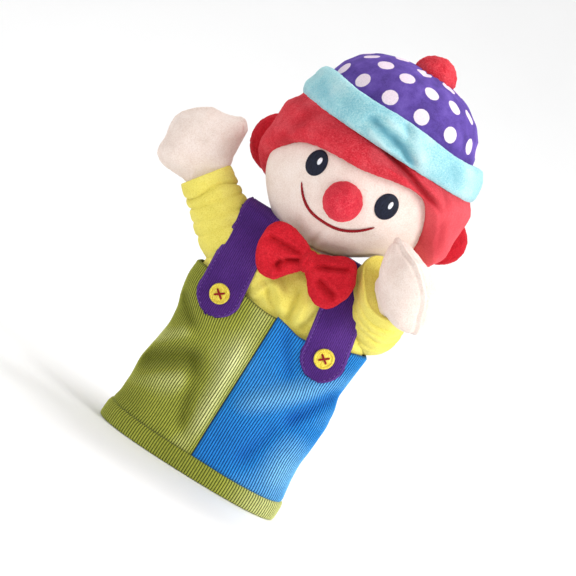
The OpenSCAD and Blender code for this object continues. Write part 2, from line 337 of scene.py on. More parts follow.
class Nodes:
    """A short way to write a material's nodes."""

    def __init__(self, name):
        self.material = bpy.data.materials.new(name)
        self.material.use_nodes = True
        self.tree = self.material.node_tree
        self.shader = self.tree.nodes["Principled BSDF"]
        self.place = self.add("ShaderNodeTexCoord", {}).outputs["Object"]

    def add(self, kind, inputs, **settings):
        """A new node; each input is a number, a colour or the output that it is linked to."""
        node = self.tree.nodes.new(kind)
        for key, value in settings.items():
            setattr(node, key, value)
        self.feed(node, inputs)
        return node

    def feed(self, node, inputs):
        for key, value in inputs.items():
            if hasattr(value, "links"):
                self.tree.links.new(value, node.inputs[key])
            else:
                node.inputs[key].default_value = value

    def noise(self, size_mm, detail=3, rough=0.6, stretch=(1, 1, 1)):
        mapping = self.add("ShaderNodeMapping", {"Scale": stretch, "Vector": self.place})
        return self.add("ShaderNodeTexNoise", {
            "Scale": 1000 / size_mm, "Detail": detail, "Roughness": rough,
            "Vector": mapping.outputs["Vector"]}).outputs["Fac"]

    def ramp(self, source, stops):
        node = self.add("ShaderNodeValToRGB", {"Fac": source})
        elements = node.color_ramp.elements
        while len(elements) < len(stops):
            elements.new(0.5)
        for element, (stop, colour) in zip(elements, stops):
            element.position = stop
            element.color = (*colour, 1)
        return node.outputs["Color"]

    def mix(self, factor, a, b, kind="MIX"):
        a, b = (c if hasattr(c, "links") else (*c, 1) for c in (a, b))
        return self.add("ShaderNodeMix", {0: factor, 6: a, 7: b}, data_type="RGBA",
                        blend_type=kind).outputs[2]

    def attribute(self, name):
        return self.add("ShaderNodeAttribute", {}, attribute_name=name).outputs["Fac"]

    def step(self, source, low, high):
        return self.add("ShaderNodeMapRange", {"Value": source, "From Min": low, "From Max": high},
                        interpolation_type="SMOOTHSTEP").outputs["Result"]

    def finish(self, colour, bumps, roughness, sheen, tint):
        """bumps holds the height, strength and distance of each layer, the coarsest last."""
        surface = {"Base Color": colour, "Roughness": roughness, "Specular IOR Level": 0.2,
                   "Sheen Weight": sheen, "Sheen Roughness": 0.5, "Sheen Tint": (*tint, 1)}
        below = {}
        for height, strength, distance in bumps:
            node = self.add("ShaderNodeBump", {"Strength": strength, "Distance": distance * MM,
                                               "Height": height, **below})
            below = {"Normal": node.outputs["Normal"]}
        self.feed(self.shader, surface | below)
        return self.material


def srgb(colours):
    """Colours written as rrggbb, as linear light."""
    parts = [[int(c[i:i + 2], 16) / 255 for i in (0, 2, 4)] for c in colours.split()]
    return [tuple(v / 12.92 if v <= 0.04045 else ((v + 0.055) / 1.055) ** 2.4 for v in part)
            for part in parts]


def plush(name, dark, mid, light, lump=9, pile_mm=1.1, sheen=0.5, patchy=0.35, painted_fold_shading=False):
    """Short pile: faint brushed patches of light and dark, and a fine grain of fibre ends.
    The last argument turns on painted shading: the mesh's fold attribute paints shade into
    creases and its pale attribute paints light."""
    n = Nodes(name)
    patches = n.noise(lump, detail=2)
    grain = n.noise(pile_mm, detail=4, rough=0.75)
    base = n.mix(patchy, mid, n.ramp(patches, [(0.36, dark), (0.5, mid), (0.66, light)]))
    speck = n.ramp(grain, [(0.34, dark), (0.5, mid), (0.68, light)])
    colour = n.mix(0.5, base, speck)
    if painted_fold_shading:
        # Painted light from the pale attribute and painted shade from the fold attribute
        colour = n.mix(n.attribute("pale"), colour, light)
        colour = n.mix(n.attribute("fold"), colour, dark)
    return n.finish(colour, [(grain, 0.8, 0.7), (n.noise(pile_mm * 3.3), 0.45, 0.9)],
                    roughness=0.92, sheen=sheen, tint=light)


def corduroy(name, valley, shade, crest, painted_highlight):
    """Wales from the mesh's wale attribute, with painted shade: the darker valley colour between
    wales. Its nap attribute paints light and shade, from painted shade in a fold's trough to a
    painted highlight on its crest."""
    n = Nodes(name)
    grain = n.noise(0.7, detail=3, stretch=(1, 1, 0.45))
    # Painted shade (shade) in fold troughs and a painted highlight on fold crests, read from the
    # nap attribute
    top = n.ramp(n.attribute("nap"), [(0.08, shade), (0.42, crest), (0.95, painted_highlight)])
    # Painted shade: the valley colour fills the grooves between wales
    colour = n.mix(n.step(n.attribute("wale"), 0.2, 0.85), valley, top)
    fleck = n.mix(n.step(grain, 0.3, 0.7), (0.8, 0.8, 0.8), (1.12, 1.12, 1.12))
    colour = n.mix(1.0, colour, fleck, kind="MULTIPLY")
    return n.finish(colour, [(grain, 0.4, 0.3)], roughness=0.9, sheen=0.3, tint=painted_highlight)


def embroidery(name, dark, light, gloss=0.55):
    """Satin-stitch thread: fine parallel strands with a slight gloss."""
    n = Nodes(name)
    strands = n.noise(0.5, detail=2, stretch=(1, 1, 0.12))
    colour = n.ramp(strands, [(0.35, dark), (0.65, light)])
    return n.finish(colour, [(strands, 0.6, 0.25)], roughness=gloss, sheen=0.1, tint=light)


def dotted_velour(name, dark, mid, light, dot):
    """Purple velour with pale dots wherever the mesh's dot attribute is small."""
    n = Nodes(name)
    grain = n.noise(0.9, detail=4, rough=0.7)
    patches = n.noise(14)
    base = n.ramp(patches, [(0.36, dark), (0.5, mid), (0.68, light)])
    base = n.mix(0.35, base, n.ramp(grain, [(0.3, dark), (0.7, light)]))
    spot = n.mix(n.step(grain, 0.3, 0.75), tuple(c * 0.82 for c in dot), dot)
    edge = n.add("ShaderNodeMath", {0: n.noise(1.6), 1: 0.7, 2: n.attribute("dot")},
                 operation="MULTIPLY_ADD")
    colour = n.mix(n.step(edge.outputs[0], 5.75, 6.25), spot, base)
    return n.finish(colour, [(grain, 0.4, 0.4)], roughness=0.9, sheen=0.4, tint=light)


SKIN = plush("skin_velour", *srgb("d4bcae ecdbd1 f8eee9"), lump=16, pile_mm=1.0, sheen=0.25,
             patchy=0.4)
RED = plush("red_plush", *srgb("8e0814 c61626 de3842"), lump=10)
HAIR = plush("hair_plush", *srgb("a01220 ce2a38 ec6870"), lump=20, pile_mm=1.1, patchy=0.5,
             painted_fold_shading=True)
DARK_HAIR = plush("dark_red_plush", *srgb("820410 b81020 d2283a"))
FELT = plush("red_felt", *srgb("a41426 d22a3c ec6870"), lump=9, pile_mm=0.8)
AQUA = plush("aqua_plush", *srgb("5ca4b8 98d0d7 d4eaea"), lump=30, pile_mm=1.1, patchy=0.6,
             painted_fold_shading=True)
YELLOW = plush("yellow_velour", *srgb("c4b238 ecdd64 f9f198"), lump=20, pile_mm=0.9, patchy=0.3)
# Corduroy colours in order: the valley between wales (painted shade), painted shade in fold
# troughs, the crest, and a painted highlight on fold crests
GREEN_CORD = corduroy("green_corduroy", *srgb("424a10 747822 a0a440 e2e4a0"))
BLUE_CORD = corduroy("blue_corduroy", *srgb("02327a 0c5cb4 268ad6 8aceee"))
PURPLE_CORD = corduroy("purple_corduroy", *srgb("260e42 36185c 4e2678 784ea8"))
DOTTED = dotted_velour("dotted_velour", *srgb("422e76 563e92 7058ae f0dee8"))
BUTTON = embroidery("button_thread", *srgb("c4a828 f0e060"))
STITCH = embroidery("red_thread", *srgb("6e0812 a41622"), gloss=0.5)
BLACK = embroidery("black_thread", *srgb("080a18 1a2036"))
WHITE = embroidery("white_thread", *srgb("cdd4de fafafc"))
PURPLE_THREAD = embroidery("purple_thread", *srgb("542e7c 8460ac"))
STUFFING = plush("stuffing", *srgb("d6d6d2 e8e8e6 f6f6f4"), lump=8)

# ---- camera, light and floor

AIM = Vector((-4.6, 0, 147)) * MM
CAMERA_DISTANCE = 1.5  # metres
CAMERA_DROP = math.radians(6)
CAMERA_ROLL = math.radians(32)
FIELD = 0.4078  # metres across the picture
SENSOR = 36


def make_camera():
    data = bpy.data.cameras.new("camera")
    camera = put("camera", data)
    look = Vector((0, math.cos(CAMERA_DROP), -math.sin(CAMERA_DROP)))
    up = Vector((0, math.sin(CAMERA_DROP), math.cos(CAMERA_DROP)))
    right = Vector((1, 0, 0))
    rolled_right = right * math.cos(CAMERA_ROLL) + up * math.sin(CAMERA_ROLL)
    rolled_up = -right * math.sin(CAMERA_ROLL) + up * math.cos(CAMERA_ROLL)
    turn = Matrix((rolled_right, rolled_up, -look)).transposed()
    camera.matrix_world = Matrix.Translation(AIM - look * CAMERA_DISTANCE) @ turn.to_4x4()
    data.sensor_width = SENSOR
    data.lens = SENSOR * CAMERA_DISTANCE / FIELD
    data.clip_end = 20
    bpy.context.scene.camera = camera


def make_light(name, spot, target, size, power):
    data = bpy.data.lights.new(name, "AREA")
    data.size = size
    data.energy = power
    light = put(name, data)
    light.location = spot
    light.rotation_euler = (Vector(target) - Vector(spot)).to_track_quat("-Z", "Y").to_euler()


def make_studio():
    """A pale floor that curves up into a backdrop, and soft light from three sides."""
    floor = Nodes("studio_floor")
    tone = floor.ramp(floor.noise(400), [(0.3, (0.93, 0.93, 0.93)), (0.7, (0.96, 0.96, 0.96))])
    floor.feed(floor.shader, {"Base Color": tone, "Roughness": 0.9})
    profile = [(-2600, 0), (300, 0)]
    profile += [(300 + 2200 * math.sin(a), 2200 - 2200 * math.cos(a))
                for a in np.linspace(0.05, math.pi / 2, 30)]
    profile += [(2500, 4500)]
    grid = np.array([[(x, y, z) for x in (-3500, 3500)] for y, z in profile], float)
    stage = sheet_of("studio_sweep", grid, floor.material)
    world = bpy.data.worlds.new("studio")
    bpy.context.scene.world = world
    world.use_nodes = True
    sky = world.node_tree.nodes["Background"].inputs
    sky["Color"].default_value = (1, 1, 1, 1)
    sky["Strength"].default_value = 0.5
    target = (0, 0, 0.17)
    make_light("key", (1.5, -0.75, 0.75), target, 0.8, 24)
    make_light("fill", (-1.1, -1.4, 0.9), target, 1.2, 12)
    make_light("top", (0.3, 0.3, 1.7), target, 0.6, 14)
    bpy.context.scene.view_settings.view_transform = "Standard"


make_camera()
make_studio()

# ---- the glove body

HALF_W, HALF_D = 69.0, 29.5
POWER = 2.4
WALE = 1.9
HEM_TOP = 14.5

# Half the body's width at some heights, on its right side (the viewer's left) and its left side
LEFT_EDGE = [(0, 69.5), (14, 69), (20, 67), (35, 66.5), (50, 67.5), (65, 65), (80, 62.5),
             (95, 63.5), (105, 67), (118, 70), (132, 69)]
RIGHT_EDGE = [(0, 71.5), (14, 72), (20, 71), (30, 69.5), (45, 68), (60, 69.5), (75, 70.5),
              (90, 69), (100, 65.5), (115, 67), (134, 69)]


def quarter(steps):
    """Points of a quarter of the body's oval, evenly spaced: from the centre seam to the side."""
    a = np.linspace(0, math.pi / 2, 2000)
    x, y = np.sin(a) ** (2 / POWER), np.cos(a) ** (2 / POWER)
    length = np.concatenate([[0], np.cumsum(np.hypot(np.diff(x * HALF_W), np.diff(y * HALF_D)))])
    even = np.linspace(0, length[-1], steps)
    return np.interp(even, length, x), np.interp(even, length, y), even


def body_depth(z):
    """Half the body's depth at a height: the trousers puff out just above the hem."""
    return HALF_D + curve(z, [(0, 1.5), (12, 1.2), (17, 3.8), (32, 1.4), (60, 0.5), (110, -0.5),
                              (134, -1.5)])


def half_width(x, z):
    """Half the body's width at a height, on the side on which x lies."""
    return np.where(np.asarray(x) < 0, curve(z, LEFT_EDGE), curve(z, RIGHT_EDGE))


# Folds of the trousers in front (-1) and behind (1), in the form that ridges() takes
FOLDS = {
    -1: [((-66, 50), (-32, 74), 8, -8), ((-68, 68), (-48, 87), 6, 6), ((-68, 34), (-30, 60), 10, 6),
         ((-66, 106), (-48, 92), 4, -4), ((-30, 70), (-16, 28), 6, -5), ((-11, 96), (-6, 34), 5, 5),
         ((66, 116), (14, 66), 8, 6.5), ((64, 102), (44, 70), 6, -6), ((60, 62), (58, 26), 11, 4),
         ((40, 62), (30, 30), 6, -3), ((10, 122), (28, 98), 5, -3)],
    1: [((-66, 84), (20, 70), 9, -3), ((-60, 58), (50, 44), 11, 2.4),
        ((64, 100), (10, 88), 8, 2.2)],
}


def body_point(side, face, tx, ty, z):
    """A point of the body's cloth; face is -1 in front and 1 behind."""
    x = side * tx * half_width(side, z)
    soft = 0.8 * noise(stack(x, 40.0 * face, z), 24, 3)
    y = face * (ty * body_depth(z) + (ridges(x, z, FOLDS[face]) + soft) * smooth(ty, 0, 0.55))
    return stack(x + side * soft * smooth(tx, 0.7, 1), y, z)


def front_y(x, z):
    """The trousers' or shirt's front surface at x, z."""
    tx = np.clip(np.abs(x) / half_width(x, z), 0, 0.985)
    ty = (1 - tx ** POWER) ** (1 / POWER)
    return -(ty * body_depth(z) + ridges(x, z, FOLDS[-1]) * (1 - smooth(z, 120, 140)))


def wales(length, pitch=WALE):
    """0 in the valley between two wales and 1 on a wale's crest."""
    return np.abs(np.sin(length * math.pi / pitch))


def painted_light_and_nap(x, z, folds):
    """Painted light and shade on the pile from the folds: 0 in a trough and 1 on a crest, with
    faint random patches.
    """
    patches = noise(stack(x, 0, z), 26, 17)
    # Fold heights give painted shade and painted highlight; the noise adds random tone
    return np.clip(0.4 + 0.042 * folds + 0.12 * patches, 0, 1)


def broad_light(x, z):
    """Painted light: the pale stretch of wales left of the centre seam and the paler lower right,
    with painted shade towards the far -X side.
    """
    return (6 * bump(x, -10, 11) * (1 - smooth(x, -4, 2)) - 2.5 * smooth(-x, 34, 60)
            + 5 * smooth(x, 20, 66) * (1 - smooth(z, 40, 90)))


def make_panel(side, face, colour, material):
    rows, columns = 70, 640
    where = "front" if face < 0 else "back"
    tx, ty, length = (np.broadcast_to(a, (rows, columns)) for a in quarter(columns))
    crest = wales(length)
    if side > 0:
        line_top = 130.0 + 5.5 * smooth(tx, 0.55, 1) - 5 * bump(tx, 0.3, 0.22)
    else:
        line_top = 131.0 + 0.5 * tx - 3.5 * bump(tx, 0.1, 0.3)
    z = HEM_TOP - 1.0 + (line_top - HEM_TOP + 1.0) * down(0, 1, rows)
    grid = body_point(side, face, tx, ty, z)
    normal = unit(np.cross(np.gradient(grid, axis=1), np.gradient(grid, axis=0))) * (side * -face)
    seam = smooth(length, 0, 1.6) * smooth(z, HEM_TOP - 1, HEM_TOP + 1.5) * (
        1 - smooth(z, line_top - 1.6, line_top))
    grid = grid + normal * (0.6 * crest ** 0.8 * seam - 0.9 * (1 - seam))[..., None]
    x, z = grid[..., 0], grid[..., 2]
    # Fold heights and broad_light become painted shade in troughs and painted light on crests,
    # through the nap attribute
    folds = ridges(x, z, FOLDS[face]) + (broad_light(x, z) if face < 0 else 0)
    # Near the seams the wale value drops, so the darker valley colour paints shade into the seams'
    # dip
    values = {"wale": crest * (0.35 + 0.65 * seam), "nap": painted_light_and_nap(x, z, folds)}
    node = f"trouser_{where}_{colour}"
    piece = sheet_of(f"{node}_cloth", grid, material, values=values,
                     thickness=1.2, offset=1 if side * face > 0 else -1)
    finish_piece(piece, "glove", f"{colour}_corduroy", node)


for side, colour, material in ((-1, "green", GREEN_CORD), (1, "blue", BLUE_CORD)):
    for face in (-1, 1):
        make_panel(side, face, colour, material)


def around(steps):
    """The whole body oval as quarters joined end to end, starting at the back centre."""
    tx, ty, length = quarter(steps)
    back_x, back_y, back_length = tx[:0:-1], ty[:0:-1], (length[-1] - length[::-1])[:-1]
    x = np.concatenate([tx[:-1], back_x, -tx[:-1], -back_x])
    y = np.concatenate([ty[:-1], -back_y, -ty[:-1], back_y])
    s = np.concatenate([length[:-1], back_length] * 2)
    return x, y, s + np.repeat(np.arange(4), steps - 1) * length[-1]


def make_hem():
    """A folded band: out and down, round the fold, and up again inside."""
    tx, ty, length = around(620)
    profile = [(-3.6, 15.6), (-2.2, 15.4), (-0.6, 14.6), (0.9, 13.6), (1.5, 11), (1.7, 6), (1.7, 2),
               (1.2, 0.5), (0, 0.15), (-1.4, 0.5), (-2.4, 2.4), (-2.7, 8), (-2.8, 14)]
    crest = wales(length)
    rows = []
    for grow, z in profile:
        rib = 0.6 * crest ** 0.8 * (0.3 < z < 14.9 and grow > -1)
        wave = 0.6 * np.sin(length / 21) * smooth(z, 0, 6)
        rows.append(stack(tx * (half_width(tx, z) + grow + rib),
                          ty * (HALF_D + 0.4 + grow + rib + wave), z))
    grid = np.array(rows)
    fine = [grid[0]]
    for a, b in zip(grid, grid[1:]):
        fine += [a + (b - a) * 0.5, b]
    grid = np.array(fine)
    crest = np.broadcast_to(crest, grid.shape[:2])
    # Painted light: the hem band is paler towards its +X end
    painted_highlight = 8 * smooth(grid[..., 0], 30, 66)
    values = {"wale": crest, "nap": painted_light_and_nap(grid[..., 0], grid[..., 2], painted_highlight)}
    piece = fix_normals(sheet_of("hem_band_cloth", grid, GREEN_CORD, wrap=True, values=values))
    finish_piece(piece, "glove", "green_corduroy", "hem_band")


make_hem()


SHIRT_FOOT = 121.0  # its lower edge, inside the trousers' waist
SHIRT_GATHERS = [((-24, 126), (-17, 146), 3.0, 2.4), ((-20, 146), (-6, 132), 2.2, -2.6),
                 ((-14, 150), (2, 134), 3.6, 2.8), ((4, 154), (8, 126), 2.0, -3.0),
                 ((12, 150), (13, 124), 2.6, 2.8), ((22, 146), (19, 124), 2.4, -2.0),
                 ((-4, 136), (-1, 122), 3.2, 2.2)]


def make_shirt():
    """Two halves of velour from inside the waist up to the shoulders and the neck."""
    t = down(0, 1, 60)
    a = np.linspace(-math.pi / 2, math.pi / 2, 150)[None, :]
    cy = np.abs(np.cos(a)) ** (2 / 2.5)
    w = curve(t, [(0, 64), (0.15, 65), (0.3, 65), (0.5, 61), (0.7, 58), (0.84, 53), (0.93, 42),
                  (1, 27)])
    d = curve(t, [(0, 23.5), (0.16, 24), (0.26, 28.5), (0.4, 30), (0.65, 28), (0.85, 24),
                  (0.95, 19), (1, 16.5)])
    x = power(np.sin(a), 2 / 2.5) * w
    z = SHIRT_FOOT + curve(t, [(0, 0), (0.7, 44), (0.9, 57), (1, 60.5)])
    z = z + 4.5 * smooth(t, 0.7, 0.95) * smooth(np.abs(x), 24, 44)
    for face, word in ((-1, "front"), (1, "back")):
        gather = 0.9 * noise(stack(x * 1.6, 30.0 * face, z * 0.6), 11, 8)
        if face < 0:
            gather = gather + ridges(x, z, SHIRT_GATHERS) * 1.5 * smooth(z, 127, 134)
        y = face * (cy * d + gather * smooth(cy, 0.1, 0.6) * (1 - smooth(t, 0.7, 0.9)))
        piece = sheet_of(f"shirt_{word}_cloth", stack(x, y, z), YELLOW, thickness=1.2,
                         offset=1 if face > 0 else -1)
        push(piece, pile(3.0, 0.25, 4))
        finish_piece(piece, "glove", "yellow_velour", f"shirt_{word}")


make_shirt()

# Half a strap's width along it, and its middle's x at some heights
STRAP_HALF = {-1: [(0, 17), (0.35, 15), (0.62, 12.8), (1, 12.5)],
              1: [(0, 17), (0.35, 15.4), (0.62, 12.8), (1, 12.5)]}
STRAP_MID = {-1: [(104, -43), (122, -43), (150, -45.5), (187, -48)],
             1: [(104, 43), (122, 42.5), (150, 37), (187, 31)]}
STRAP_FRONT, STRAP_OVER, STRAP_BEHIND = 78, 60, 62  # its lengths before, on and behind the shoulder
STRAP_LENGTH = STRAP_FRONT + STRAP_OVER + STRAP_BEHIND
STRAP_FOOT, STRAP_TOP = 104.5, 182.0  # heights of the front end and of the shoulder
STRAP_ROUND = 17.0  # radius of the front end
STITCH_TOP = 178.0
BUTTON_X, BUTTON_Z, BUTTON_R = 43.0, 121.0, 7.6


def strap_path(s):
    """Height and outward direction along a strap: s is 0 at the front end and 1 behind."""
    d = s * STRAP_LENGTH
    turn = np.clip((d - STRAP_FRONT) / STRAP_OVER, 0, 1) * math.pi
    over = np.where(d < STRAP_FRONT + STRAP_OVER, STRAP_TOP + 5.0 * np.sin(turn),
                    STRAP_TOP - (d - STRAP_FRONT - STRAP_OVER))
    return np.where(d < STRAP_FRONT, STRAP_FOOT + d, over), turn


def strap_half(side, s, z):
    """Half a strap's width, with its front end round."""
    end = np.clip((z - STRAP_FOOT) / STRAP_ROUND, 0, 1)
    round_end = STRAP_ROUND * np.sqrt(np.clip(1 - (1 - end) ** 2, 0.0004, 1))
    at_end = (s < STRAP_FRONT / STRAP_LENGTH) & (end < 1)
    return np.where(at_end, round_end, curve(s, STRAP_HALF[side]))


def strap_under(x, z):
    """Where the cloth below a strap lies, in y."""
    y = front_y(x, np.clip(z, 0, 150)) - 1.6 - 1.4 * smooth(z, 126, 140)
    return y + 4.2 * smooth(z, 160, 184)


def make_strap(side):
    word = WORD[side]
    s, u = np.meshgrid(np.linspace(0, 1, 300), np.linspace(-1, 1, 84), indexing="ij")
    z, turn = strap_path(s)
    half = strap_half(side, s, z)
    mid = curve(np.clip(z, 104, 187), STRAP_MID[side])
    x = mid + u * half
    edge = half * (1 - np.abs(u))
    crest = wales(x - mid * 0.6, 1.4)
    rise = 1.1 * smooth(edge, 0, 1.4) - 0.45 * bump(edge, 2.7, 0.55) + 0.3 * bump(edge, 1.4, 0.7)
    rise = rise * smooth(z, 104.4, 105.6) + 0.5 * noise(stack(x, turn * 20, z), 13, 6)
    rise = rise + 0.26 * crest * smooth(edge, 0.6, 2.0)
    y = (strap_under(x, z) - rise) * np.cos(turn)
    z = z + np.sin(turn) * rise
    # The nap attribute is paler along the strap's raised edges, with random patches
    values = {"wale": crest * 0.8 + 0.2, "nap": painted_light_and_nap(x * 2, z * 2, 4 * bump(edge, 1.2, 1.6))}
    piece = sheet_of(f"strap_{word}_cloth", stack(x, y, z), PURPLE_CORD, values=values,
                     thickness=1.8, offset=-1)
    finish_piece(piece, "glove", "purple_corduroy", f"strap_{word}")
    z = 107.3 + (np.arange(0, 112, 3.0)[:, None] + 2.2 * np.array([0.15, 0.5, 0.85]))
    z = z[(z <= STITCH_TOP).all(1)]
    half = strap_half(side, (z - STRAP_FOOT) / STRAP_LENGTH, z)
    stitches = []
    for sign in (-1, 1):
        x = curve(z, STRAP_MID[side]) + sign * np.maximum(half - 2.7, 0.2)
        stitches.extend(stack(x, strap_under(x, z) - 0.95, z))
    piece = threads(f"strap_{word}_stitching", stitches, 0.34, PURPLE_THREAD)
    finish_piece(piece, "glove", "purple_corduroy")


def make_button(side):
    """A domed disc of satin stitch with a raised border, and two crossed stitches."""
    word, x0 = WORD[side], side * BUTTON_X
    r, a = down(0.02, 1, 26) * BUTTON_R, circle(144)
    spokes = 0.1 * np.abs(np.sin(a * 36))
    inner = 0.07 * np.abs(np.sin((r * np.sin(a)) * math.pi / 0.75))
    height = 1.0 + 0.7 * bump(r, 6.4, 0.75) - 0.5 * bump(r, 5.3, 0.45)
    height = height + np.where(r > 5.5, spokes, inner)
    height = height * (1 - smooth(r, 7.0, BUTTON_R)) - 1.4 * smooth(r, 7.2, BUTTON_R)
    x, z = x0 + r * np.cos(a), BUTTON_Z + r * np.sin(a)
    grid = stack(x, front_y(x, z) - 2.9 - height, z)
    finish_piece(closed(f"button_{word}_embroidery", grid, BUTTON), "glove", "button_thread",
                 f"button_{word}")
    paths = []
    reach = 4.1
    t = np.linspace(-reach, reach, 22)
    for angle in (38, -38):
        c, s = math.cos(math.radians(angle)), math.sin(math.radians(angle))
        for shift in (-0.33, 0.33):
            px, pz = x0 + t * c - shift * s, BUTTON_Z + t * s + shift * c
            arch = 0.5 * np.cos(t / reach * math.pi / 2)
            paths.append(stack(px, front_y(px, pz) - 4.1 - arch, pz))
    piece = threads(f"button_{word}_cross", paths, 0.42, STITCH, twist=1.1)
    finish_piece(piece, "glove", "red_thread", f"button_stitch_{word}")


for make in (make_strap, make_button):
    for side in (-1, 1):
        make(side)

# ---- bow tie

KNOT = place("bow_knot")[2]
BOW = np.array([KNOT[0], place("bow_loops")[2][1] - 1.5, KNOT[2] + 1.5])
# Half height and middle of each loop at some distances from the knot, and its creases
BOW_LOOPS = {
    "right": ([(0, 7), (4, 10), (8, 13.5), (14, 18.5), (20, 20), (26, 19.8), (31, 17), (34.5, 12.5),
               (37, 6)],
              [(0, 0), (8, -2), (14, -5), (26, -4.4), (34, -1.5), (37, 0)],
              [((-32, 1.5), (-9, 2), 1.7, 4.6), ((-17.4, -15), (-16.2, -8.5), 2.6, 6),
               ((-15, -7), (-6, -2), 1.8, 4.6)]),
    "left": ([(0, 7), (4, 9.6), (8, 13), (11, 15.5), (19, 20), (27, 19.8), (31, 16), (34, 9),
              (36, 5)],
             [(0, 0), (5, -0.4), (11, -3.4), (19, -2.9), (27, -2), (36, -1.6)],
             [((9, 2), (26, 10.5), 1.7, 4.4), ((13, -7), (27, -10.4), 2.4, 6)]),
}


def make_bow_loop(side):
    """A plump loop that is widest past its middle, with creases where the knot draws it in."""
    word = WORD[side]
    outline, middle, creases = BOW_LOOPS[word]
    v, a = down(0, 1, 48), circle(96)
    out = 1.5 + (outline[-1][0] - 1.5) * np.sin(v * math.pi / 2) ** 0.8
    thick = curve(v, [(0, 5), (0.3, 7), (0.7, 7.6), (0.9, 6), (1, 2.6)])
    tip = np.sqrt(np.clip(1 - smooth(v, 0.9, 1.0) ** 2, 0.1, 1))
    z = curve(out, outline) * tip * power(np.sin(a), 0.9) + curve(out, middle)
    y = -thick * tip * power(np.cos(a), 0.75)
    piece = closed(f"bow_loop_{word}", stack(side * out, y, z) + BOW, RED)
    puff(piece, voxel=1.8, pressure=2.0, cap=1.2)

    def pinch(points):
        """Each crease, with a low lip on either side of it."""
        x, y, z = (points - BOW).T
        depth = 0
        for start, end, width, deep in creases:
            depth = depth + ridge(x, z, start, end, width, deep)
            for way in (1, -1):
                lip = np.array([0, way * width * 2.1])
                depth = depth - 0.22 * ridge(x, z, start + lip, end + lip, width, deep)
        return -depth * smooth(-y, 0, 4)

    push(piece, pinch)
    stuffed(piece, (1.8, 0.22, 12), 0.4, "glove", "red_plush", *(["bow_loops"] if side < 0 else []))


def make_bow_knot():
    """A short band of plush, pleated where it is drawn tight round the loops."""
    t, a = down(0, math.pi, 36), circle(64)
    r = np.sin(t) ** 0.6
    x, y, z = -6.4 * np.cos(t), -9.4 * r * np.cos(a), 8.2 * r * np.sin(a)
    pleat = 0.6 * np.sin(x * 1.6 + 0.6) * smooth(-y, -2, 4)
    piece = closed("bow_knot_plush", stack(x, 0.6 + y - pleat, 0.3 + z) + BOW, RED)
    subdivide(piece, 1)
    stuffed(piece, (1.8, 0.2, 14), 0.5, "glove", "red_plush", "bow_knot")


for side in (-1, 1):
    make_bow_loop(side)
make_bow_knot()

# ---- head

HEAD = place("head_stuffing")[2]
HEAD_R = 62.0
# Bulges of the skin: the direction of each from the head's middle, its height and its spread
CHEEKS = [((-0.9, -0.18, -0.43), 8.5, 22), ((-0.5, -0.12, -0.86), 7.5, 22),
          ((0.86, -0.18, -0.48), 0.8, 24), ((0.54, -0.1, -0.84), -4.6, 22)]


def skin_rise(d):
    """How far the skin stands out from the head's ball in the direction d."""
    x, z = HEAD_R * d[..., 0] + HEAD[0], HEAD_R * d[..., 2] + HEAD[2]
    out = 0.0
    for towards, height, spread in CHEEKS:
        away = np.degrees(np.arccos(np.clip(d @ unit(towards), -1, 1)))
        out = out + height * bump(away, 0, spread)
    front = smooth(-d[..., 1], 0.1, 0.4)
    dart = -1.2 * bump(x, -6, 1.9) * smooth(z, 183, 188) * (1 - smooth(z, 192, 198))
    dart = dart + 1.1 * bump(np.abs(x + 6), 4.4, 2.8) * bump(z, 190, 6)
    return out + dart * front


def on_head(points, out):
    """The points of the head's skin that lie behind some points, standing out by out."""
    flat = stack(points[..., 0], 0.0, points[..., 1] - HEAD[2])
    flat[..., 1] = -np.sqrt(np.clip(HEAD_R ** 2 - (flat ** 2).sum(-1), 1, None))
    d = unit(flat)
    return HEAD + d * (HEAD_R + skin_rise(d) + out)[..., None]


def make_head():
    rows, columns = 150, 150
    polar = down(0.02, math.pi - 0.12, rows)
    for face, word in ((-1, "face"), (1, "head_back")):
        d = directions(polar, np.linspace(0, math.pi, columns)[None, :] + math.pi * (face < 0))
        side_seam = -0.9 * bump(HEAD_R * d[..., 1], 0, 1.2)
        p = HEAD + d * (HEAD_R + skin_rise(d) + side_seam)[..., None]
        p = p + d * (0.5 * noise(p, 19, 21))[..., None]
        piece = fix_normals(sheet_of(f"{word}_skin", p, SKIN))
        stuffed(piece, (2.2, 0.16, 22), 0.9, "head", "skin_velour", f"{word}_panel")


make_head()


def make_nose():
    low, high, centre = place("nose")
    radius = (high[2] - low[2]) / 2
    centre = np.array([centre[0], low[1] + radius, centre[2]])
    d = directions(down(0.02, math.pi - 0.02, 60), circle(110))[..., [0, 2, 1]]
    piece = closed("nose_ball", centre + radius * d * np.array([0.95, 1.0, 0.99]), FELT)
    stuffed(piece, (2.6, 0.5, 31), 0.9, "head", "red_felt", "nose")


make_nose()


def disc(centre, half, out, edge=0.0):
    """A patch of satin stitch on the face: centre and half sizes across and up."""
    r, a = down(0.02, 1, 24), circle(96)
    p = stack(centre[0] + half[0] * r * np.cos(a), centre[1] + half[1] * r * np.sin(a))
    strand = 0.12 * np.abs(np.sin(p[..., 0] * math.pi / 0.8)) * (r < 0.96)
    rise = out + 0.9 * np.sqrt(1 - r ** 2 * 0.96) + strand + edge * np.sin(a * 40) * r
    return on_head(p, rise)


def make_eye(word):
    """A dark oval of satin stitch with a white glint."""
    low, high, centre = place(f"eye_{word}")
    half = np.array([(high[0] - low[0]) / 2 + 0.4, (high[2] - low[2]) / 2 + 0.2])
    at = centre[[0, 2]] + np.array([2.2 if word == "right" else 0.0, 0])
    piece = closed(f"eye_{word}_embroidery", disc(at, half, 0.35, 0.1), BLACK)
    finish_piece(piece, "head", "black_thread", f"eye_{word}")
    glint = disc(at + np.array([1.6, 2.2]), (1.4, 2.7), 1.05)
    piece = closed(f"eye_{word}_glint", glint, WHITE)
    finish_piece(piece, "head", "white_thread", *(["eye_glints"] if word == "right" else []))


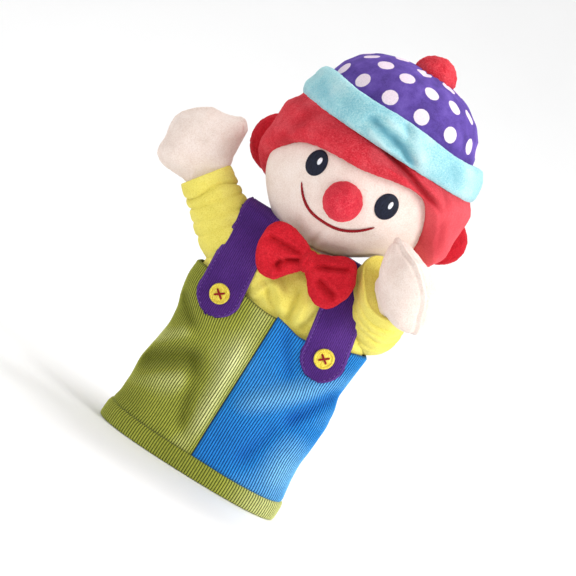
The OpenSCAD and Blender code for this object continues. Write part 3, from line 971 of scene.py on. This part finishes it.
for word in ("right", "left"):
    make_eye(word)


def make_mouth():
    """Three strands twisted into one line of thread, steeper at the right-hand corner."""
    low, high, _ = place("mouth_stitch")
    t = np.linspace(-1, 1, 170)
    x = (low[0] + high[0]) / 2 + (high[0] - low[0]) / 2 * t
    z = low[2] + 0.6 + (high[2] - low[2]) * np.where(t < 0, np.abs(t) ** 3, np.abs(t) ** 2.2)
    strands = []
    for k in range(3):
        wave = t * 42 + k * TAU / 3
        p = stack(x, z + 0.42 * np.cos(wave))
        strands.append(on_head(p, 0.35 + 0.25 * (1 + np.sin(wave))))
    piece = threads("mouth_embroidery", strands, 0.7, STITCH)
    finish_piece(piece, "head", "red_thread", "mouth_stitch")


make_mouth()

# ---- hair and hat

HAIR_TOP = 270.0
# Height of the hair's lower edge at some angles round the head, 0 being the middle of the front
FRINGE = [(-180, 203), (-120, 203), (-105, 206), (-95, 210), (-85, 220), (-70, 230), (-62, 237),
          (-46, 245), (-26, 248.5), (-8, 249), (2, 250), (13, 254.5), (26, 256), (38, 256),
          (48, 250), (55, 240), (60, 229), (68, 221), (80, 215), (92, 209), (120, 203), (180, 203)]


HAIR_FOLDS = [((4, 267), (44, 254), 2.4, -6.5), ((2, 260), (36, 248), 4, 3.2),
              ((30, 266), (56, 250), 5, 2), ((48, 262), (66, 226), 4, -2.2),
              ((-48, 262), (-62, 230), 4, -1.6)]
HAIR_TURN = 0.78  # how far along the surface the lower edge begins to roll inwards


def hair_surface(azimuth, v):
    """The hair band: v runs from the hat down the outside, round the lower edge and in."""
    degrees = np.degrees(azimuth)
    low = curve(degrees, FRINGE)
    z = HAIR_TOP + (low + 3.0 - HAIR_TOP) * np.clip(v / HAIR_TURN, 0, 1)
    inner_r = np.sqrt(np.clip(HEAD_R ** 2 - (z - HEAD[2]) ** 2, 100, None))
    full = 72.5 + 4.6 * bump(np.abs(degrees), 85, 40) + 1.0 * np.sin(azimuth)
    at_ears = smooth(np.abs(degrees), 55, 80)
    outer_r = full - 7 * smooth(z, 257, 270) - 9.0 * (1 - smooth(z, 203, 226)) * at_ears - 1.0
    roll = np.clip((v - HAIR_TURN) / (1 - HAIR_TURN), 0, 1)
    r = outer_r - (outer_r - inner_r + 1.5) * (1 - np.cos(roll * math.pi)) / 2
    z = z - 5.0 * np.sin(roll * math.pi) * (1 - 0.15 * roll)
    crease = ridges(degrees, z, HAIR_FOLDS)
    r = r + 1.3 * bump(v, 0.66, 0.12) + crease * smooth(v, 0.02, 0.1) * (1 - smooth(v, 0.8, 0.95))
    p = stack(r * np.sin(azimuth), -r * np.cos(azimuth), z)
    lumps = 0.9 * noise(p, 16, 41)[..., None]
    # Painted shade in the creases (fold) and painted light on the +X side (pale)
    values = {"fold": np.clip(-crease / 4, 0, 0.85), "pale": 0.45 * smooth(degrees, 14, 60)}
    return p + stack(np.sin(azimuth), -np.cos(azimuth), 0.0) * lumps, values


def make_hair():
    for word, low, high in (("fringe", -90, 90), ("back", 90, 270)):
        v, azimuth = np.meshgrid(np.linspace(0, 1, 90), np.radians(np.linspace(low, high, 260)),
                                 indexing="ij")
        points, values = hair_surface((azimuth + math.pi) % TAU - math.pi, v)
        piece = fix_normals(sheet_of(f"hair_{word}_plush", points, HAIR, values=values))
        stuffed(piece, (2.4, 0.4, 42), 0.6, "head", "hair_plush", f"hair_{word}")


make_hair()


# Each tuft's middle in x and z, and its half height
TUFTS = {-1: (-65.5, 229.0, 22.0), 1: (68.5, 232.5, 19.5)}


def make_tuft(side):
    word = WORD[side]
    x, z, half_height = TUFTS[side]
    centre = np.array([x, place(f"side_tuft_{word}")[2][1], z])
    d = directions(down(0.03, math.pi - 0.03, 50), circle(90))
    p = centre + d * np.array([21.0, 21.0, half_height])
    crease = 2.4 * bump(np.abs(d[..., 1] + 0.15), 0, 0.12) * smooth(side * d[..., 0], 0.1, 0.6)
    piece = closed(f"side_tuft_{word}_plush", p - d * crease[..., None], DARK_HAIR)
    puff(piece, voxel=3.0, pressure=2.0, cap=1.0)
    stuffed(piece, (2.2, 0.45, 51 + side), 0.6, "head", "dark_red_plush", f"side_tuft_{word}")


for side in (-1, 1):
    make_tuft(side)

CUFF_LOW, CUFF_HIGH = 267.0, 291.5
# Folds of the cuff, in degrees round and height, in the form that ridges() takes
CUFF_FOLDS = [((-14, 281), (6, 275), 2.4, -5.5), ((2, 279), (18, 270), 2.2, -4.5),
              ((-6, 286), (12, 280), 3, 2.6), ((-12, 274), (4, 268), 3, 2.8),
              ((4, 290), (13, 271), 3, -2.4), ((12, 290), (22, 272), 4, 2.2),
              ((-60, 286), (-40, 274), 4, -1.4), ((34, 288), (50, 272), 4, -1.6)]


def make_cuff():
    """The hat's turned-up cuff: a thick soft band with a pucker near the middle of the front."""
    rows, columns = 56, 360
    a = circle(rows).T
    azimuth = np.linspace(-math.pi, math.pi, columns, endpoint=False)[None, :]
    degrees = np.degrees(azimuth)
    tilt = -4.0 * np.sin(azimuth)
    low = CUFF_LOW + 0.4 * tilt
    high = CUFF_HIGH + 0.7 * tilt + 0.9 * np.sin(azimuth * 5 + 1)
    z = (low + high) / 2 + (high - low) / 2 * power(np.sin(a), 0.75)
    r = 66.5 + 5.6 * power(np.cos(a), 0.7) + 2.2 * np.sin(azimuth)
    lean = -3.0 * smooth(np.sin(a), -0.2, 1.0)
    outside = smooth(np.cos(a), -0.3, 0.5)
    pucker = ridges(degrees, z, CUFF_FOLDS) + 1.3 * noise(stack(degrees / 3, z, 0), 8, 61)
    r = r + lean + pucker * outside
    p = stack(r * np.sin(azimuth), -r * np.cos(azimuth), z)
    faces = grid_faces(rows, columns, wrap=True)
    last = (rows - 1) * columns
    faces += [(last + j, last + (j + 1) % columns, (j + 1) % columns, j) for j in range(columns)]
    # Painted shade in the pucker's troughs (fold) and a painted highlight on its ridges (pale)
    values = {"fold": np.clip(-pucker / 5, 0, 0.75) * outside, "pale": 0.4 * smooth(pucker, 1, 3)}
    piece = fix_normals(solid("hat_cuff_plush", p, faces, AQUA, values))
    stuffed(piece, (2.4, 0.4, 62), 0.5, "head", "aqua_plush", "hat_cuff")


make_cuff()

# The crown's radius and height at some steps from its rim to its top
CROWN = [(0, 60, 270), (0.2, 60, 284), (0.38, 58.8, 293), (0.55, 55, 304), (0.7, 47.5, 314.5),
         (0.84, 35, 322.5), (0.93, 20, 327), (1, 1, 328.5)]
# Rows of dots: the step that each lies at, how many dots it has, and the first one's angle
DOT_ROWS = [(0.475, 14, 11.0), (0.735, 14, 11.0), (0.905, 7, -8.0)]


def crown_point(azimuth, v):
    r = curve(v, [(step, radius) for step, radius, height in CROWN])
    z = curve(v, [(step, height) for step, radius, height in CROWN])
    gores = -0.9 * (1 - np.abs(np.sin(azimuth * 2.5 + 0.25)) ** 0.35) * smooth(v, 0.35, 0.6)
    pleat = 0.5 * np.sin(azimuth * 21) * smooth(v, 0.78, 0.97) * (1 - smooth(v, 0.97, 1))
    sag = 1.1 * noise(stack(r * np.sin(azimuth), r * np.cos(azimuth), z), 17, 71)
    out = gores + pleat + sag
    r = r + out * 0.8
    return stack(r * np.sin(azimuth), -r * np.cos(azimuth), z + out * 0.6 * smooth(v, 0.4, 0.9))


def make_crown():
    azimuth = np.linspace(-math.pi, math.pi, 420, endpoint=False)[None, :]
    grid = crown_point(azimuth, down(0, 1, 110))
    centres = np.concatenate([
        crown_point(np.radians(first + np.arange(count) * 360 / count), np.full(count, step))
        for step, count, first in DOT_ROWS])
    gap = np.linalg.norm(grid[:, :, None] - centres[None, None], axis=-1).min(-1)
    piece = fix_normals(sheet_of("hat_crown_cloth", grid, DOTTED, wrap=True, values={"dot": gap}))
    finish_piece(piece, "head", "dotted_velour", "hat_crown")


make_crown()


POMPOM = np.array([4.0, 0, 328.5])


def make_pompom():
    d = directions(down(0.02, math.pi - 0.02, 70), circle(130))
    p = POMPOM + d * np.array([15.6, 15.6, 13.5])
    piece = closed("pompom_plush", p, HAIR)
    push(piece, lambda q: pile(2.6, 0.7, 81)(q) + 0.5 * noise(q, 7, 82))
    finish_piece(piece, "head", "red_plush", "pompom")


make_pompom()

# ---- arms and hands

JOINTS = {j["name"]: j for j in frame["joints"]}


def joint_place(name):
    return np.array(JOINTS[name]["pos_m"], float) / MM


def axes_of(z_axis, x_axis):
    z_axis, x_axis = unit(z_axis), unit(x_axis)
    return np.array([x_axis, np.cross(z_axis, x_axis), z_axis])


SLEEVE_END = 42.0  # where a sleeve's profile has the wrist, before it is stretched to the arm


def make_sleeve(word, shoulder, wrist, side_axis, seed, bunch=0):
    """A ball at the shoulder that runs into a gathered tube with a soft cuff. bunch is how far
    its cloth crumples up under the chin."""
    length = np.linalg.norm(wrist - shoulder)
    axes = axes_of(wrist - shoulder, side_axis)
    t, a = down(0, 1, 120), circle(160)
    along = curve(t, [(0, -22.5), (0.12, -21), (0.3, -8), (0.5, 10), (0.85, 41), (0.95, 45),
                      (1, SLEEVE_END)])
    radius = curve(t, [(0, 2), (0.06, 9), (0.14, 16), (0.25, 21), (0.36, 22.5), (0.5, 21.8),
                       (0.7, 20.2), (0.86, 19.4), (0.94, 18.6), (1, 15.2)])
    q = stack(np.cos(a) * 12, np.sin(a) * 12, along)
    phase = along / 10.5 * math.pi + 1.5 * noise(q, 16, seed) + 0.5 * np.cos(a)
    crease = -2.8 * (1 - np.abs(np.sin(phase))) ** 2 * (0.45 + 0.55 * smooth(
        noise(q, 22, seed + 1), -0.4, 0.5))
    crease = crease * smooth(along, -8, 4) * (1 - smooth(along, 33, 38))
    r = radius + crease + 0.5 * noise(q, 13, seed + 2) * smooth(t, 0.1, 0.3)
    upper_left, below = bump(a, math.radians(140), 0.65), bump(a, math.radians(270), 0.9)
    r = r + bunch * upper_left * smooth(along, -2, 20)
    r = r - 0.2 * bunch * below * (1 - smooth(along, 8, 24)) * smooth(along, -20, -10)
    local = stack(r * np.cos(a), r * np.sin(a), along * length / SLEEVE_END)
    piece = closed(f"sleeve_{word}_cloth", local @ axes + shoulder, YELLOW)
    stuffed(piece, (2.6, 0.22, seed + 3), 0.2, f"{word}_arm", "yellow_velour", f"sleeve_{word}")


def mitten_outline(n):
    """Closed outline of a mitten, across by along, with the thumb on the plus side."""
    points = np.array([
        (14, -4), (19, 1), (24, 8), (31, 14.5), (37.5, 19.5), (40.5, 25), (39, 29.5), (34, 32),
        (27.5, 37), (21, 44.5), (10, 48), (-2, 49), (-10, 44), (-16.5, 36.5), (-24, 32),
        (-26.5, 27), (-25.5, 20), (-19.5, 11.5), (-13.5, -1), (-13, -4)], float)
    closed_points = np.concatenate([points, points[:1]])
    step = np.linalg.norm(np.diff(closed_points, axis=0), axis=1)
    s = np.concatenate([[0], np.cumsum(step)])
    even = np.linspace(0, s[-1], n, endpoint=False)
    out = np.stack([np.interp(even, s, closed_points[:, k]) for k in (0, 1)], -1)
    core = np.hanning(max(5, n // 26))
    core /= core.sum()
    wide = np.concatenate([out, out, out])
    return np.stack([np.convolve(wide[:, k], core, mode="same")[n:2 * n] for k in (0, 1)], -1)


def make_hand(word, wrist, z_axis, x_axis, seed):
    axes = axes_of(z_axis, x_axis)
    outline = mitten_outline(200)
    centre = np.array([1.0, 23.0])
    f = np.sin(down(0.02, math.pi / 2, 22))
    flat = centre + (outline - centre)[None] * f[..., None]
    across, along = flat[..., 0], flat[..., 1]
    height = 17.5 * (1 - (1 - np.clip((1 - f) / 0.85, 0, 1)) ** 2.3) ** 0.62
    height = height * (0.72 + 0.28 * smooth(along, 0, 22)) * (1 - 0.25 * smooth(across, 18, 40))
    height = height + 9.5 * (1 - smooth(along, -4, 8)) * (1 - f ** 6)
    front = stack(across, height, along)
    back = front * np.array([1, -1, 1])
    grid = np.concatenate([front, back[::-1][1:]])
    piece = closed(f"hand_{word}_mitten", grid @ axes + wrist, SKIN)

    def hold(points):
        """1 at the wrist, where the hand is sewn to the sleeve."""
        return 1 - smooth(((points - wrist) @ axes.T)[:, 2], 0, 12)

    def seam(points):
        """A raised seam round the mitten's edge, with a groove on either side."""
        local = (points - wrist) @ axes.T
        off = np.abs(local[:, 1])
        return (1.1 * bump(off, 0, 0.9) - 0.8 * bump(off, 2.6, 1.0)) * smooth(local[:, 2], 4, 12)

    puff(piece, voxel=2.6, pressure=3.0, cap=2.2, hold=hold)
    push(piece, seam)
    stuffed(piece, (2.2, 0.18, seed), 0.5, f"{word}_hand", "skin_velour", f"hand_{word}")


# The left hand droops to this angle from upright and turns out from the body
LEFT_HAND_LEAN = math.radians(68)
LEFT_HAND_TURN = math.radians(20)
LEFT_AHEAD = np.array([math.sin(LEFT_HAND_LEAN) * math.sin(LEFT_HAND_TURN),
                       -math.sin(LEFT_HAND_LEAN) * math.cos(LEFT_HAND_TURN),
                       math.cos(LEFT_HAND_LEAN)])

for word in ("right", "left"):
    shoulder = joint_place(f"{word}_arm_lift")
    wrist = joint_place(f"{word}_wrist_bend")
    thumb = np.array(JOINTS[f"{word}_wrist_bend"]["axis"], float)
    if word == "right":
        make_sleeve(word, shoulder, wrist, thumb, 90)
        make_hand(word, wrist, wrist - shoulder, thumb, 100)
    else:
        make_sleeve(word, shoulder, wrist, (1.0, 0, 0), 95, bunch=14)
        make_hand(word, wrist, LEFT_AHEAD, thumb, 105)

# ---- stuffing


def make_stuffing(name, outline, middle, node):
    """A lumpy filling: outline is its radius at some heights, round the axis through middle."""
    z, a = down(outline[0][0], outline[-1][0], 50), circle(90)
    r = curve(z, outline)
    piece = closed(name, stack(middle[0] + r * np.cos(a), middle[1] + r * np.sin(a), z), STUFFING)
    stuffed(piece, (14, 1.6, 120), 0.9, "head", "stuffing", node)


half_circle = [(HEAD[2] + 55 * k, 54 * math.sqrt(1 - k * k)) for k in np.linspace(-0.97, 0.97, 25)]
make_stuffing("head_filling", half_circle, HEAD, "head_stuffing")
in_hat = [(292, 50), (300, 50), (308, 45), (314, 37), (319, 26), (322, 8)]
make_stuffing("hat_filling", in_hat, place("hat_stuffing")[2], "hat_stuffing")

# ---- CAD nodes that stay

INNER = {"collar": YELLOW, "neck_tunnel": SKIN, "finger_pocket": SKIN,
         "shoulder_gusset_right": YELLOW, "shoulder_gusset_left": YELLOW}
for node, material in INNER.items():
    mesh = frame["nodes"][node].data
    mesh.materials.clear()
    mesh.materials.append(material)
